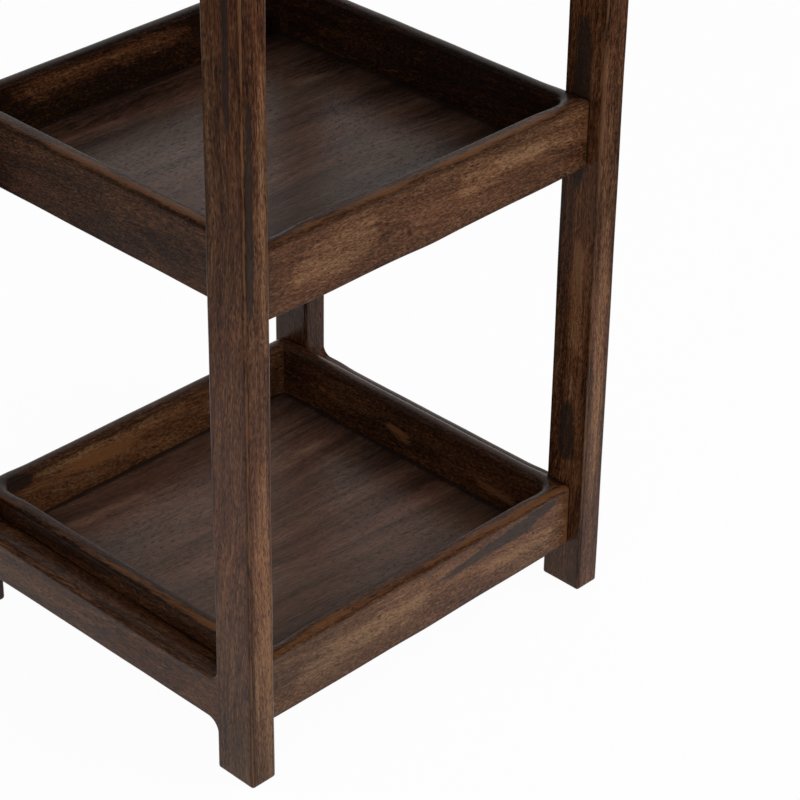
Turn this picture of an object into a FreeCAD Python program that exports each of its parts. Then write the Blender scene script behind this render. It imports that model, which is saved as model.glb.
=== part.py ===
import FreeCAD, Part
import os
import Sketcher

# Three-tier side table in solid wood: two side frames carry three shallow trays.
# Millimetres, +Z up, origin on the floor under the middle of the table, front towards -Y.

# Driving sizes
SIZES = {
    "overall_width": 356.0,       # across both side frames, along X
    "overall_depth": 330.0,       # across the legs, along Y
    "leg_thickness": 22.0,        # legs and rails, along X
    "leg_width": 36.0,            # along Y
    "foot_height": 39.0,          # floor to the underside of the lowest rail and tray
    "tier_pitch": 316.0,          # from one tray to the next
    "rail_height": 36.0,
    "edge_round": 2.5,            # long edges of legs and rails, and the feet
    "frame_corner": 12.0,         # outer top corners of a side frame
    "flare_under": 9.0,           # hollow curve below a rail, where it meets a leg
    "flare_over": 7.0,            # hollow curve above a rail, where it meets a leg
    "housing_depth": 1.0,         # how far a rail's flared end is let into the leg
    "housing_heel": 1.0,          # how far the housing runs past the flare
    "tenon_length": 18.0,
    "tenon_thickness": 7.0,
    "tenon_offset": 4.0,          # wood between the tenon and the frame's outer face
    "tenon_shoulder": 8.0,        # above and below the tenon
    "tray_setback": 11.0,         # front and rear walls behind the legs' faces
    "tray_height": 52.0,
    "wall_thickness": 13.0,
    "tray_corner": 3.0,           # outer upright corners of a tray
    "tray_inner_corner": 10.0,    # inner upright corners of a tray
    "rim_outer_round": 2.5,       # outer edge of a tray's rim
    "rim_inner_round": 6.0,       # inner edge of a tray's rim
    "base_round": 1.5,            # lower outer edge of a tray
    "floor_lift": 4.0,            # underside of the floor panel above the wall's lower edge
    "floor_thickness": 6.0,
    "groove_depth": 5.0,          # floor groove in the walls
    "panel_gap": 1.0,             # room for the floor panel to move in its groove
    "loose_tenon_thickness": 8.0, # loose tenons hold the trays to the legs, along Y
    "loose_tenon_edge": 9.0,      # its middle from the leg's inner side
    "loose_tenon_rise": 3.0,      # its lower edge above the floor panel
    "loose_tenon_drop": 5.0,      # its upper edge below the level of the rails' top
    "wall_cover": 4.0,            # wood left between a loose tenon's slot and the tray's inside
    "tenon_clear": 1.0,           # wood left between a loose tenon's slot and the rail's tenon beside it
    "glue_play": 0.1,             # round the tenons and on the panel's faces
    "glue_gap": 0.6,              # at the ends of the tenons
}

TIERS = ("lower", "middle", "upper")
SIDES = ("left", "right")
ENDS = ("front", "rear")
RAIL_LEVELS = ("lower", "upper")
SPLIT_MARGIN = 6.0                # how far a splitting block reaches past what it splits
WALL_TURNS = {"front": 0, "right": 90, "rear": 180, "left": 270}

# Heights and lengths that follow from the driving sizes
LEG_TOP = "(Sizes.foot_height + 2 * Sizes.tier_pitch + Sizes.rail_height)"
RAIL_BASE = {"lower": "Sizes.foot_height", "upper": "(Sizes.foot_height + 2 * Sizes.tier_pitch)"}
TRAY_BASE = {tier: f"(Sizes.foot_height + {step} * Sizes.tier_pitch)" for step, tier in enumerate(TIERS)}
LEG_INNER = "(Sizes.overall_depth / 2 - Sizes.leg_width)"
HOUSING = f"({LEG_INNER} + Sizes.housing_depth)"
TRAY_WIDTH = "(Sizes.overall_width - 2 * Sizes.leg_thickness)"
TRAY_DEPTH = "(Sizes.overall_depth - 2 * Sizes.tray_setback)"
RIM_OUTER = "min(Sizes.rim_outer_round; 0.9 * Sizes.tray_corner)"
RIM_INNER = "min(Sizes.rim_inner_round; 0.5 * Sizes.wall_thickness)"
FRAME_PLACE = {"left": "-Sizes.overall_width / 2", "right": "Sizes.overall_width / 2 - Sizes.leg_thickness"}

doc = FreeCAD.newDocument("tiered_side_table")
sheet = doc.addObject("Spreadsheet::Sheet", "Sizes")
for row, (alias, size) in enumerate(SIZES.items(), start=1):
    sheet.set(f"A{row}", alias)
    sheet.set(f"B{row}", str(size))
    sheet.setAlias(f"B{row}", alias)
doc.recompute()


def value(expression):
    """Give the number that a sheet expression stands for."""
    return float(sheet.evalExpression(expression))


def near(first, second):
    """Tell whether two lengths are the same."""
    return abs(first - second) < 1e-4


def place(piece, x=None, y=None, z=None):
    """Tie a piece's place to sheet expressions."""
    for axis, expression in (("x", x), ("y", y), ("z", z)):
        if expression is not None:
            piece.setExpression(f"Placement.Base.{axis}", expression)
    return piece


def new_body(name):
    """Start a body for one piece or blank."""
    return doc.addObject("PartDesign::Body", name)


def origin_plane(body, role):
    """Find one of a body's own origin planes."""
    return next(item for item in body.Origin.OriginFeatures if item.Role == role)


def rectangle(body, name, plane, width, height, low=None, standing=False, lift=None):
    """Draw a rectangle: centred on the origin, standing on the first axis, or starting at height low."""
    sketch = body.newObject("Sketcher::SketchObject", name)
    sketch.AttachmentSupport = [(origin_plane(body, plane), "")]
    sketch.MapMode = "FlatFace"
    if lift:
        sketch.setExpression("AttachmentOffset.Base.z", lift)
    half = value(width) / 2
    tall = value(height)
    base = value(low) if low else (0.0 if standing else -tall / 2)
    corners = [
        FreeCAD.Vector(-half, base, 0),
        FreeCAD.Vector(half, base, 0),
        FreeCAD.Vector(half, base + tall, 0),
        FreeCAD.Vector(-half, base + tall, 0),
    ]
    for side in range(4):
        sketch.addGeometry(Part.LineSegment(corners[side], corners[(side + 1) % 4]), False)
    for side in range(4):
        sketch.addConstraint(Sketcher.Constraint("Coincident", side, 2, (side + 1) % 4, 1))
    for side in (1, 2, 3):
        sketch.addConstraint(Sketcher.Constraint(("Horizontal", "Vertical")[side % 2], side))
    sized = {
        "width": (Sketcher.Constraint("DistanceX", 0, 1, 0, 2, 2 * half), width),
        "height": (Sketcher.Constraint("DistanceY", 1, 1, 1, 2, tall), height),
    }
    if low:
        sketch.addConstraint(Sketcher.Constraint("Symmetric", 0, 1, 0, 2, -2))
        sized["low"] = (Sketcher.Constraint("DistanceY", -1, 1, 0, 1, base), low)
    else:
        sketch.addConstraint(Sketcher.Constraint("Horizontal", 0))
        opposite = 0 if standing else 1
        sketch.addConstraint(Sketcher.Constraint("Symmetric", 0, 1, opposite, 2, -1, 1))
    for label, (constraint, expression) in sized.items():
        index = sketch.addConstraint(constraint)
        sketch.renameConstraint(index, label)
        sketch.setExpression(f"Constraints.{label}", expression)
    return sketch


def pad(body, name, sketch, length):
    """Raise a sketch into a solid."""
    feature = body.newObject("PartDesign::Pad", name)
    feature.Profile = sketch
    feature.setExpression("Length", length)
    doc.recompute()
    return feature


def pocket(body, name, sketch, length=None):
    """Cut a sketch along its plane's normal, right through or to a depth, and make sure that wood went."""
    before = body.Shape.Volume
    feature = body.newObject("PartDesign::Pocket", name)
    feature.Profile = sketch
    feature.Reversed = True
    if length:
        feature.setExpression("Length", length)
    else:
        feature.Type = "ThroughAll"
    doc.recompute()
    if not feature.Shape.Volume < before - 1.0:
        raise RuntimeError(f"{name} cut nothing")
    return feature


def fillet(body, name, radius, chosen):
    """Round the body's edges that the function chosen picks."""
    base = body.Tip
    edges = [f"Edge{number}" for number, edge in enumerate(base.Shape.Edges, start=1) if chosen(edge)]
    if not edges:
        raise RuntimeError(f"{name} found no edges")
    feature = body.newObject("PartDesign::Fillet", name)
    feature.Base = (base, edges)
    feature.setExpression("Radius", radius)
    doc.recompute()
    return feature


def flat_at(edge, axis, at):
    """Tell whether an edge lies in the plane where the axis has the value at."""
    low, high = {
        "x": (edge.BoundBox.XMin, edge.BoundBox.XMax),
        "y": (edge.BoundBox.YMin, edge.BoundBox.YMax),
        "z": (edge.BoundBox.ZMin, edge.BoundBox.ZMax),
    }[axis]
    return near(low, at) and near(high, at)


def box(name, x_low, x_high, y_low, y_high, z_low, z_high):
    """Make a block between sheet expressions."""
    block = doc.addObject("Part::Box", name)
    for size, low, high in (("Length", x_low, x_high), ("Width", y_low, y_high), ("Height", z_low, z_high)):
        block.setExpression(size, f"({high}) - ({low})")
    return place(block, x_low, y_low, z_low)


def fuse(name, shapes):
    """Join blocks into one shape."""
    joined = doc.addObject("Part::MultiFuse", name)
    joined.Shapes = shapes
    joined.Refine = True
    return joined


def boolean(kind, name, base, tool):
    """Cut the tool from the base, or keep what they share."""
    result = doc.addObject(f"Part::{kind}", name)
    result.Base = base
    result.Tool = tool
    result.Refine = False
    return result


# Side frame blank
def frame_blank():
    """Shape one side frame as it leaves the bench: glued up, then rounded over as a whole."""
    body = new_body("frame_blank")
    gap = f"2 * {LEG_INNER}"
    outline = rectangle(body, "frame_outline", "YZ_Plane", "Sizes.overall_depth", LEG_TOP, standing=True)
    pad(body, "frame_board", outline, "Sizes.leg_thickness")
    foot_gap = rectangle(body, "foot_gap", "YZ_Plane", gap, "Sizes.foot_height", standing=True)
    pocket(body, "foot_opening", foot_gap)
    window_low = "Sizes.foot_height + Sizes.rail_height"
    window_height = "2 * Sizes.tier_pitch - Sizes.rail_height"
    window = rectangle(body, "window", "YZ_Plane", gap, window_height, low=window_low)
    pocket(body, "frame_opening", window)
    inner = value(LEG_INNER)
    outer = value("Sizes.overall_depth / 2")

    def across(edge, side, heights):
        """Tell whether an edge runs through the frame's thickness at that side and one of the heights."""
        middle = edge.CenterOfMass
        runs_across = near(edge.BoundBox.XLength, value("Sizes.leg_thickness"))
        return runs_across and near(abs(middle.y), side) and any(near(middle.z, level) for level in heights)

    undersides = [value(RAIL_BASE[level]) for level in RAIL_LEVELS]
    fillet(body, "hollows_under", "Sizes.flare_under", lambda edge: across(edge, inner, undersides))
    fillet(body, "hollows_over", "Sizes.flare_over", lambda edge: across(edge, inner, [value(window_low)]))
    fillet(body, "frame_corners", "Sizes.frame_corner", lambda edge: across(edge, outer, [value(LEG_TOP)]))
    faces = (0.0, value("Sizes.leg_thickness"))
    fillet(body, "round_over", "Sizes.edge_round", lambda edge: (
        any(flat_at(edge, "x", face) for face in faces) or flat_at(edge, "z", 0.0)
    ))
    return body


def rail_zone(level):
    """Make the block that a rail takes out of the frame, with its flared ends let into the legs."""
    low = f"{RAIL_BASE[level]} - Sizes.flare_under - Sizes.housing_heel"
    over = {"lower": "Sizes.flare_over + Sizes.housing_heel", "upper": str(SPLIT_MARGIN)}[level]
    high = f"{RAIL_BASE[level]} + Sizes.rail_height + {over}"
    reach = f"Sizes.leg_thickness + {SPLIT_MARGIN}"
    return box(f"{level}_rail_zone", str(-SPLIT_MARGIN), reach, f"-{HOUSING}", HOUSING, low, high)


def joint_block(name, level, side, end, play, gap):
    """Make a tenon, or with play and gap the mortise for it, at one end of a rail."""
    stop = f"{HOUSING} + Sizes.tenon_length + {gap}"
    y_low, y_high = (f"-({stop})", f"-{HOUSING}") if end == "front" else (HOUSING, stop)
    near_face = "Sizes.tenon_offset"
    if side == "right":
        near_face = "Sizes.leg_thickness - Sizes.tenon_offset - Sizes.tenon_thickness"
    x_low = f"{near_face} - {play}"
    x_high = f"{near_face} + Sizes.tenon_thickness + {play}"
    low = f"{RAIL_BASE[level]} + Sizes.tenon_shoulder - {play}"
    high = f"{RAIL_BASE[level]} + Sizes.rail_height - Sizes.tenon_shoulder + {play}"
    return box(name, x_low, x_high, y_low, y_high, low, high)


# Side frames: rails
pieces = []
blank = frame_blank()
zones = {level: rail_zone(level) for level in RAIL_LEVELS}
for level in RAIL_LEVELS:
    rail_stock = boolean("Common", f"{level}_rail_stock", blank, zones[level])
    for side in SIDES:
        tenons = [joint_block(f"{level}_{end}_{side}_tenon", level, side, end, "0", "0") for end in ENDS]
        rail = fuse(f"{level}_{side}_rail", [rail_stock] + tenons)
        pieces.append(place(rail, x=FRAME_PLACE[side]))

# Loose tenons between trays and legs
SLOT_Y = f"({LEG_INNER} + Sizes.loose_tenon_edge)"
SLOT_LOW = "(Sizes.floor_lift + Sizes.floor_thickness + Sizes.loose_tenon_rise)"
SLOT_HIGH = "(Sizes.rail_height - Sizes.loose_tenon_drop)"
WALL_REACH = "(Sizes.wall_thickness - Sizes.wall_cover)"
LEG_REACH = "(Sizes.leg_thickness - Sizes.tenon_offset - Sizes.tenon_thickness - Sizes.tenon_clear)"


def loose_tenon(name, tier, side, end, play, gap):
    """Make a loose tenon, or with play and gap the slot for it, across the joint of a tray and a leg."""
    tray_face = f"({TRAY_WIDTH} / 2)"
    inside = f"{tray_face} - {WALL_REACH} - {gap}"
    outside = f"{tray_face} + {LEG_REACH} + {gap}"
    x_low, x_high = (f"-({outside})", f"-({inside})") if side == "left" else (inside, outside)
    middle = f"-{SLOT_Y}" if end == "front" else SLOT_Y
    half = f"(Sizes.loose_tenon_thickness / 2 + {play})"
    low = f"{TRAY_BASE[tier]} + {SLOT_LOW} - {play}"
    high = f"{TRAY_BASE[tier]} + {SLOT_HIGH} + {play}"
    return box(name, x_low, x_high, f"{middle} - {half}", f"{middle} + {half}", low, high)


def loose_tenon_set(tier, kind, play, gap):
    """Make the four blocks of one tray, one at each leg."""
    return [
        loose_tenon(f"{tier}_{end}_{side}_{kind}", tier, side, end, play, gap)
        for side in SIDES
        for end in ENDS
    ]


slots = {tier: fuse(f"{tier}_slots", loose_tenon_set(tier, "slot", "Sizes.glue_play", "0")) for tier in TIERS}
all_slots = fuse("all_slots", list(slots.values()))

# Side frames: legs
posts = boolean("Cut", "leg_pair", blank, fuse("rail_zones", list(zones.values())))
deep = f"Sizes.overall_depth / 2 + {SPLIT_MARGIN}"
leg_halves = {"front": (f"-({deep})", "0"), "rear": ("0", deep)}
for end in ENDS:
    half_block = box(
        f"{end}_half",
        str(-SPLIT_MARGIN), f"Sizes.leg_thickness + {SPLIT_MARGIN}",
        *leg_halves[end],
        str(-SPLIT_MARGIN), f"{LEG_TOP} + {SPLIT_MARGIN}",
    )
    leg_stock = boolean("Common", f"{end}_leg_stock", posts, half_block)
    for side in SIDES:
        mortises = fuse(f"{end}_{side}_mortises", [
            joint_block(f"{level}_{end}_{side}_mortise", level, side, end, "Sizes.glue_play", "Sizes.glue_gap")
            for level in RAIL_LEVELS
        ])
        mortised = boolean("Cut", f"{end}_{side}_mortised", leg_stock, mortises)
        place(mortised, x=FRAME_PLACE[side])
        pieces.append(boolean("Cut", f"{end}_{side}_leg", mortised, all_slots))


# Tray blank
def tray_blank():
    """Shape the ring of one tray's walls: rounded corners and rim, with the floor groove inside."""
    body = new_body("tray_blank")
    outline = rectangle(body, "tray_outline", "XY_Plane", TRAY_WIDTH, TRAY_DEPTH)
    pad(body, "tray_block", outline, "Sizes.tray_height")
    tall = value("Sizes.tray_height")
    fillet(body, "outer_corners", "Sizes.tray_corner", lambda edge: near(edge.BoundBox.ZLength, tall))
    solid_edges = [edge.CenterOfMass for edge in body.Shape.Edges]
    clear_width = f"{TRAY_WIDTH} - 2 * Sizes.wall_thickness"
    clear_depth = f"{TRAY_DEPTH} - 2 * Sizes.wall_thickness"
    inside = rectangle(body, "tray_inside", "XY_Plane", clear_width, clear_depth)
    pocket(body, "tray_hollow", inside)
    fillet(body, "inner_corners", "Sizes.tray_inner_corner", lambda edge: (
        near(edge.BoundBox.ZLength, tall)
        and all((edge.CenterOfMass - old).Length > 1e-3 for old in solid_edges)
    ))
    outer_x = value(TRAY_WIDTH) / 2 - value("Sizes.tray_corner")
    outer_y = value(TRAY_DEPTH) / 2 - value("Sizes.tray_corner")

    def outside(edge):
        """Tell whether an edge lies on the tray's outer side."""
        return abs(edge.CenterOfMass.x) > outer_x or abs(edge.CenterOfMass.y) > outer_y

    fillet(body, "rim_inside", RIM_INNER, lambda edge: flat_at(edge, "z", tall) and not outside(edge))
    fillet(body, "rim_outside", RIM_OUTER, lambda edge: flat_at(edge, "z", tall) and outside(edge))
    fillet(body, "lower_edge", "Sizes.base_round", lambda edge: flat_at(edge, "z", 0.0) and outside(edge))
    groove = rectangle(
        body, "groove_outline", "XY_Plane",
        f"{clear_width} + 2 * Sizes.groove_depth", f"{clear_depth} + 2 * Sizes.groove_depth",
        lift="Sizes.floor_lift - Sizes.glue_play",
    )
    pocket(body, "floor_groove", groove, "Sizes.floor_thickness + 2 * Sizes.glue_play")
    return body


def mitre_block(wall):
    """Make the block, with ends at 45 degrees, that parts one wall from the ring."""
    along, out = (TRAY_WIDTH, TRAY_DEPTH) if wall in ENDS else (TRAY_DEPTH, TRAY_WIDTH)
    reach = "(Sizes.wall_thickness + Sizes.tray_inner_corner)"
    block = doc.addObject("Part::Wedge", f"{wall}_mitre")
    bounds = {
        "Xmin": f"-{along} / 2 - {SPLIT_MARGIN}",
        "Xmax": f"{along} / 2 + {SPLIT_MARGIN}",
        "Ymin": f"-{out} / 2 - {SPLIT_MARGIN}",
        "Ymax": f"-{out} / 2 + {reach}",
        "X2min": f"-{along} / 2 + {reach}",
        "X2max": f"{along} / 2 - {reach}",
        "Zmin": str(-SPLIT_MARGIN),
        "Z2min": str(-SPLIT_MARGIN),
        "Zmax": f"Sizes.tray_height + {SPLIT_MARGIN}",
        "Z2max": f"Sizes.tray_height + {SPLIT_MARGIN}",
    }
    for bound, expression in bounds.items():
        block.setExpression(bound, expression)
    turn = FreeCAD.Rotation(FreeCAD.Vector(0, 0, 1), WALL_TURNS[wall])
    block.Placement = FreeCAD.Placement(FreeCAD.Vector(), turn)
    return block


def floor_panel(tier):
    """Make the floor panel that sits loose in the walls' groove."""
    body = new_body(f"{tier}_tray_floor")
    overhang = "2 * (Sizes.groove_depth - Sizes.panel_gap - Sizes.wall_thickness)"
    outline = rectangle(
        body, f"{tier}_floor_outline", "XY_Plane", f"{TRAY_WIDTH} + {overhang}", f"{TRAY_DEPTH} + {overhang}",
    )
    pad(body, f"{tier}_floor_board", outline, "Sizes.floor_thickness")
    return place(body, z=f"{TRAY_BASE[tier]} + Sizes.floor_lift")


# Trays
ring = tray_blank()
mitres = {wall: mitre_block(wall) for wall in WALL_TURNS}
for tier in TIERS:
    for wall in WALL_TURNS:
        wall_stock = boolean("Common", f"{tier}_{wall}_wall_stock", ring, mitres[wall])
        place(wall_stock, z=TRAY_BASE[tier])
        pieces.append(boolean("Cut", f"{tier}_tray_{wall}_wall", wall_stock, slots[tier]))
    pieces.append(floor_panel(tier))
    tenon_group = doc.addObject("Part::Compound", f"{tier}_tray_loose_tenons")
    tenon_group.Links = loose_tenon_set(tier, "loose_tenon", "0", "-Sizes.glue_gap")
    pieces.append(tenon_group)

# Check every object, then write each piece
doc.recompute()
for item in doc.Objects:
    if "Invalid" in item.State or "Error" in item.State:
        raise RuntimeError(f"{item.Name} failed: {item.State}")
os.makedirs("parts", exist_ok=True)
TENONS_PER_TRAY = len(SIDES) * len(ENDS)
for piece in pieces:
    piece.Label = piece.Name
    wanted = TENONS_PER_TRAY if piece.Name.endswith("_loose_tenons") else 1
    shape = piece.Shape
    if shape.isNull() or not shape.isValid() or len(shape.Solids) != wanted:
        raise RuntimeError(f"{piece.Label} is not {wanted} valid solids")
for piece in pieces:
    piece.Shape.exportStep(f"parts/{piece.Label}.step")
    print(f"{piece.Label}: {piece.Shape.Volume / 1000:.1f} cubic cm")
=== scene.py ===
import logging
import math
from dataclasses import dataclass, replace
from enum import Enum

import bpy
import numpy as np
from mathutils import Matrix, Vector


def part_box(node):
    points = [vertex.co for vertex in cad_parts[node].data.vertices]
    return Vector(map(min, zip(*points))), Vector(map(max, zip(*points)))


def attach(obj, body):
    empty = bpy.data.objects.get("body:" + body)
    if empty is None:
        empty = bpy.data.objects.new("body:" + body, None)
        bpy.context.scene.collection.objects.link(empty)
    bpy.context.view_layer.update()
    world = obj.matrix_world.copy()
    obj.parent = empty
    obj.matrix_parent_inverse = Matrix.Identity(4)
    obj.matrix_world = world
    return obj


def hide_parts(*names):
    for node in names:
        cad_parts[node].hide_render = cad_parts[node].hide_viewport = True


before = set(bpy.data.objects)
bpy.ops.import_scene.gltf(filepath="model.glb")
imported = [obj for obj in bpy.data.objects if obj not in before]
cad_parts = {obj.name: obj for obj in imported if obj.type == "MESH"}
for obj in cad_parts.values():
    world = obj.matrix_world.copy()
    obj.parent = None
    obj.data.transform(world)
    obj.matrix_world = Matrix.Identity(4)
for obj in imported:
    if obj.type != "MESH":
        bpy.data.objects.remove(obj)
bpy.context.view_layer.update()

# Dark stained three-tier side table: side frames of legs and rails carry three trays.
# Metres, +Z up, front towards -Y, in the frame's own place.

log = logging.getLogger("side_table")
MM = 0.001
BODY = "root"
QUARTER_TURN = np.array([[0.0, 1.0], [-1.0, 0.0]])
Array = np.ndarray
Axes = tuple[int, int, int]
Colour = tuple[float, float, float]
Place = tuple[float, float, float]
Spot = tuple[float, float]
Piece = bpy.types.Object
Material = bpy.types.Material
Socket = bpy.types.NodeSocket


class Grain(Enum):
    """How a board lies: the axis along its grain, the one across it and the one through it."""

    ALONG_X_FLAT = (0, 1, 2)
    ALONG_X_UPRIGHT = (0, 2, 1)
    ALONG_Y_UPRIGHT = (1, 2, 0)
    ALONG_Z = (2, 1, 0)


class Side(Enum):
    """Side frame, with the word that its pieces carry."""

    LEFT = "left"
    RIGHT = "right"


class End(Enum):
    """End of the table, with the way along Y that its legs' outer sides face."""

    FRONT = -1
    REAR = 1


class Tier(Enum):
    """Tray, with the word that its pieces carry."""

    LOWER = "lower"
    MIDDLE = "middle"
    UPPER = "upper"


class Wall(Enum):
    """Tray wall, with the quarter turns from the front wall's place to its own."""

    FRONT = 0
    RIGHT = 1
    REAR = 2
    LEFT = 3


class Shade(Enum):
    """What a mark in the wood does to its colour."""

    # DARK marks are dark streaks in the wood, and also painted shade and a painted reflection where other
    # parts darken a board.
    DARK = 0
    LIGHT = 1
    RUBBED = 2


@dataclass(frozen=True)
class Mark:
    """A streak or patch in a board, or a patch of painted shade on it: a capsule between two places, of
    changing radius, in millimetres.
    """

    shade: Shade
    start: Place
    stop: Place
    start_radius: float
    stop_radius: float

    def strength(self, points: Array) -> Array:
        """Work out how deep in the mark each point lies.

        Args:
            points: Places in metres.

        Returns:
            1 on the mark's line, falling evenly to 0 at its radius and at both ends.
        """
        start, stop = np.array(self.start) * MM, np.array(self.stop) * MM
        line = stop - start
        share = np.clip((points - start) @ line / (line @ line), 0.0, 1.0)
        gap = np.linalg.norm(points - start - share[:, None] * line, axis=1)
        radius = (self.start_radius + (self.stop_radius - self.start_radius) * share) * MM
        return np.clip(1.0 - gap / radius, 0.0, 1.0) * (1.0 - (2.0 * share - 1.0) ** 6)


@dataclass(frozen=True)
class Contour:
    """A line of points in a plane, with the normals that point out of the wood.

    A point moved into the wood goes back along its normal, and past its limit along its mitre.
    """

    points: Array
    normals: Array
    mitres: Array
    limit: float = 1.0

    @staticmethod
    def joined(parts: list["Contour"]) -> "Contour":
        """Join contours end to end, with the least of their limits."""
        columns = zip(*((part.points, part.normals, part.mitres) for part in parts))
        return Contour(*map(np.concatenate, columns), min(part.limit for part in parts))

    def within(self, depth: Array) -> Array:
        """Move the points into the wood by a depth for each ring and column."""
        near, far = np.minimum(depth, self.limit)[..., None], np.maximum(depth - self.limit, 0)[..., None]
        return self.points[:, None] - self.normals[:, None] * near - self.mitres[:, None] * far

    @staticmethod
    def line(start: Spot, stop: Spot, normal: Spot, shares: Array) -> "Contour":
        """Carry a point along a straight line: start + (stop - start) * share, all with one normal."""
        normals = np.tile(np.array(normal, float), (len(shares), 1))
        return Contour(np.array(start) + np.subtract(stop, start) * shares[:, None], normals, normals)

    @staticmethod
    def arc(centre: Spot, radius: float, turns: Array, mitre: Spot | None = None) -> "Contour":
        """Carry a point round a circle: centre + radius * (cosine, sine) of each angle.

        Args:
            centre: Middle of the circle.
            radius: Its radius.
            turns: Angles of the points, in radians.
            mitre: Way out along both sides of a corner, or none for a hollow, with normals at its middle.

        Returns:
            The contour.
        """
        spokes = np.stack([np.cos(turns), np.sin(turns)], axis=1)
        points = np.array(centre) + radius * spokes
        if mitre is None:
            return Contour(points, -spokes, -spokes)
        return Contour(points, spokes, np.tile(np.array(mitre, float), (len(turns), 1)), radius)


def eased(steps: int) -> Array:
    """Give shares from 0 to 1 that crowd towards both ends: half of one less the cosine of a half turn."""
    return 0.5 - 0.5 * np.cos(np.pi * np.linspace(0.0, 1.0, steps + 1))


def smoothed(shares: Array) -> Array:
    """Hold shares between 0 and 1 and ease both ends: three times the square less twice the cube."""
    held = np.clip(shares, 0.0, 1.0)
    return held * held * (3.0 - 2.0 * held)


@dataclass(frozen=True)
class Round:
    """A rounded edge: a quarter of an ellipse, rubbed most at one angle on it, from 0 at the face.

    Its inset and drop are single numbers, or one for each ring along the board.
    """

    inset: float | Array
    drop: float | Array
    wear: float = 0.45
    ridge: float = 45.0
    spread: float = 22.0

    def columns(self) -> tuple[Array, Array]:
        """Give the inset and the drop as columns, a row to a ring."""
        return np.reshape(self.inset, (-1, 1)), np.reshape(self.drop, (-1, 1))

    def rub(self, turn: Array) -> Array:
        """Work out the rubbing at an angle: a bell round the ridge."""
        return self.wear * np.exp(-((np.degrees(turn) - self.ridge) / self.spread) ** 2)


@dataclass(frozen=True)
class Skin:
    """Closed skin of a board: rings of points along it, how near each is to an edge and how rubbed."""

    points: Array
    edge: Array
    wear: Array
    smooth_start: bool = False


@dataclass(frozen=True)
class Ribbon:
    """A board between two contours, with rounded edges, raised between a low and a high level."""

    first: Contour
    second: Contour
    low: float
    high: float
    first_low: Round
    first_high: Round
    second_low: Round
    second_high: Round
    face_steps: int = 16
    strip_steps: int = 10
    round_steps: int = 8
    edge_fade: float = 3.0 * MM
    least_round: float = 0.1 * MM

    def skin(self, inset: Array | None = None) -> Skin:
        """Work out the board's skin.

        Each ring goes round the section at one place along the contours: across the low face from the
        second contour to the first, up the first edge, across the high face and down the second edge.

        Args:
            inset: How far each ring is drawn in all round, for a rounded end.

        Returns:
            The skin, with points as (plane, plane, level).
        """
        drawn = np.zeros((len(self.first.points), 1)) if inset is None else inset[:, None]
        low, high = self.low + drawn, self.high - drawn
        up = self.second_low, self.first_low, self.first_high
        down = self.first_high, self.second_high, self.second_low
        blocks = self.half(drawn, self.second, self.first, up, low, high)
        blocks += self.half(drawn, self.first, self.second, down, high, low)
        flat = np.concatenate([block[0] for block in blocks], axis=1)
        level, edge, rub = (
            np.concatenate([np.broadcast_to(block[part], block[0].shape[:2]) for block in blocks], axis=1)
            for part in (1, 2, 3)
        )
        return Skin(np.concatenate([flat, level[:, :, None]], axis=2), edge, rub, inset is not None)

    def half(self, drawn: Array, start: Contour, stop: Contour, forms: tuple[Round, ...],
             near: Array, far: Array) -> list[tuple[Array, ...]]:
        """Lay half of each ring: a face from one contour to another, and the rounded edge that follows.

        A round is a quarter ellipse: a point at angle a lies inset * (1 - sin a) inside its contour and
        drop * (1 - cos a) inside its face.

        Args:
            drawn: How far each ring is drawn in.
            start: Contour that the face starts from.
            stop: Contour that it goes to.
            forms: Rounds where the face starts, where it stops and where the edge ends.
            near: Level of the face at each ring.
            far: Level of the other face.

        Returns:
            Plane points, level, nearness to an edge and rubbing of the face, round, flat and round.
        """
        insets, drops = (
            [np.maximum(size - drawn, np.minimum(size, self.least_round)) for size in sizes]
            for sizes in zip(*(form.columns() for form in forms))
        )
        way = np.sign(far - near)
        turn = np.linspace(0.0, np.pi / 2, self.round_steps + 1)[None, :]
        opening, closing = (
            (stop.within(drawn + insets[form] * (1 - np.sin(turns))),
             level + rise * drops[form] * (1 - np.cos(turns)),
             0.5 + 0.5 * np.sin(2 * turns),
             forms[form].rub(turns))
            for form, level, rise, turns in ((1, near, way, turn), (2, far, -way, turn[:, ::-1]))
        )
        begin, end = start.within(drawn + insets[0]), stop.within(drawn + insets[1])
        across = eased(self.face_steps)[1:-1]
        fading = self.fade(across, np.linalg.norm(end - begin, axis=2), forms[:2], 0.0)
        face = (begin + (end - begin) * across[None, :, None], near, *fading)
        rise = far - way * drops[2] - near - way * drops[1]
        up = eased(self.strip_steps)[None, 1:-1]
        fading = self.fade(up[0], np.abs(rise), forms[1:], np.pi / 2)
        flat = (stop.within(np.repeat(drawn, up.size, axis=1)), near + way * drops[1] + rise * up, *fading)
        return [face, opening, flat, closing]

    def fade(self, shares: Array, reach: Array, rounds: tuple[Round, ...], turn: float) -> list[Array]:
        """Fade nearness and rubbing away from the two rounds beside a flat.

        Args:
            shares: Places across the flat, from 0 to 1.
            reach: Width of the flat at each ring.
            rounds: The rounds that it starts and stops at.
            turn: The angle at which they end on it.

        Returns:
            Nearness and rubbing, which die away exponentially with the distance.
        """
        before, after = shares[None, :] * reach, (1 - shares)[None, :] * reach
        edge = 0.5 * np.exp(-np.minimum(before, after) / self.edge_fade)
        start, stop = (form.rub(np.array(turn)) for form in rounds)
        fading = start * np.exp(-before / self.edge_fade), stop * np.exp(-after / self.edge_fade)
        return [edge, np.maximum(*fading)]


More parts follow.
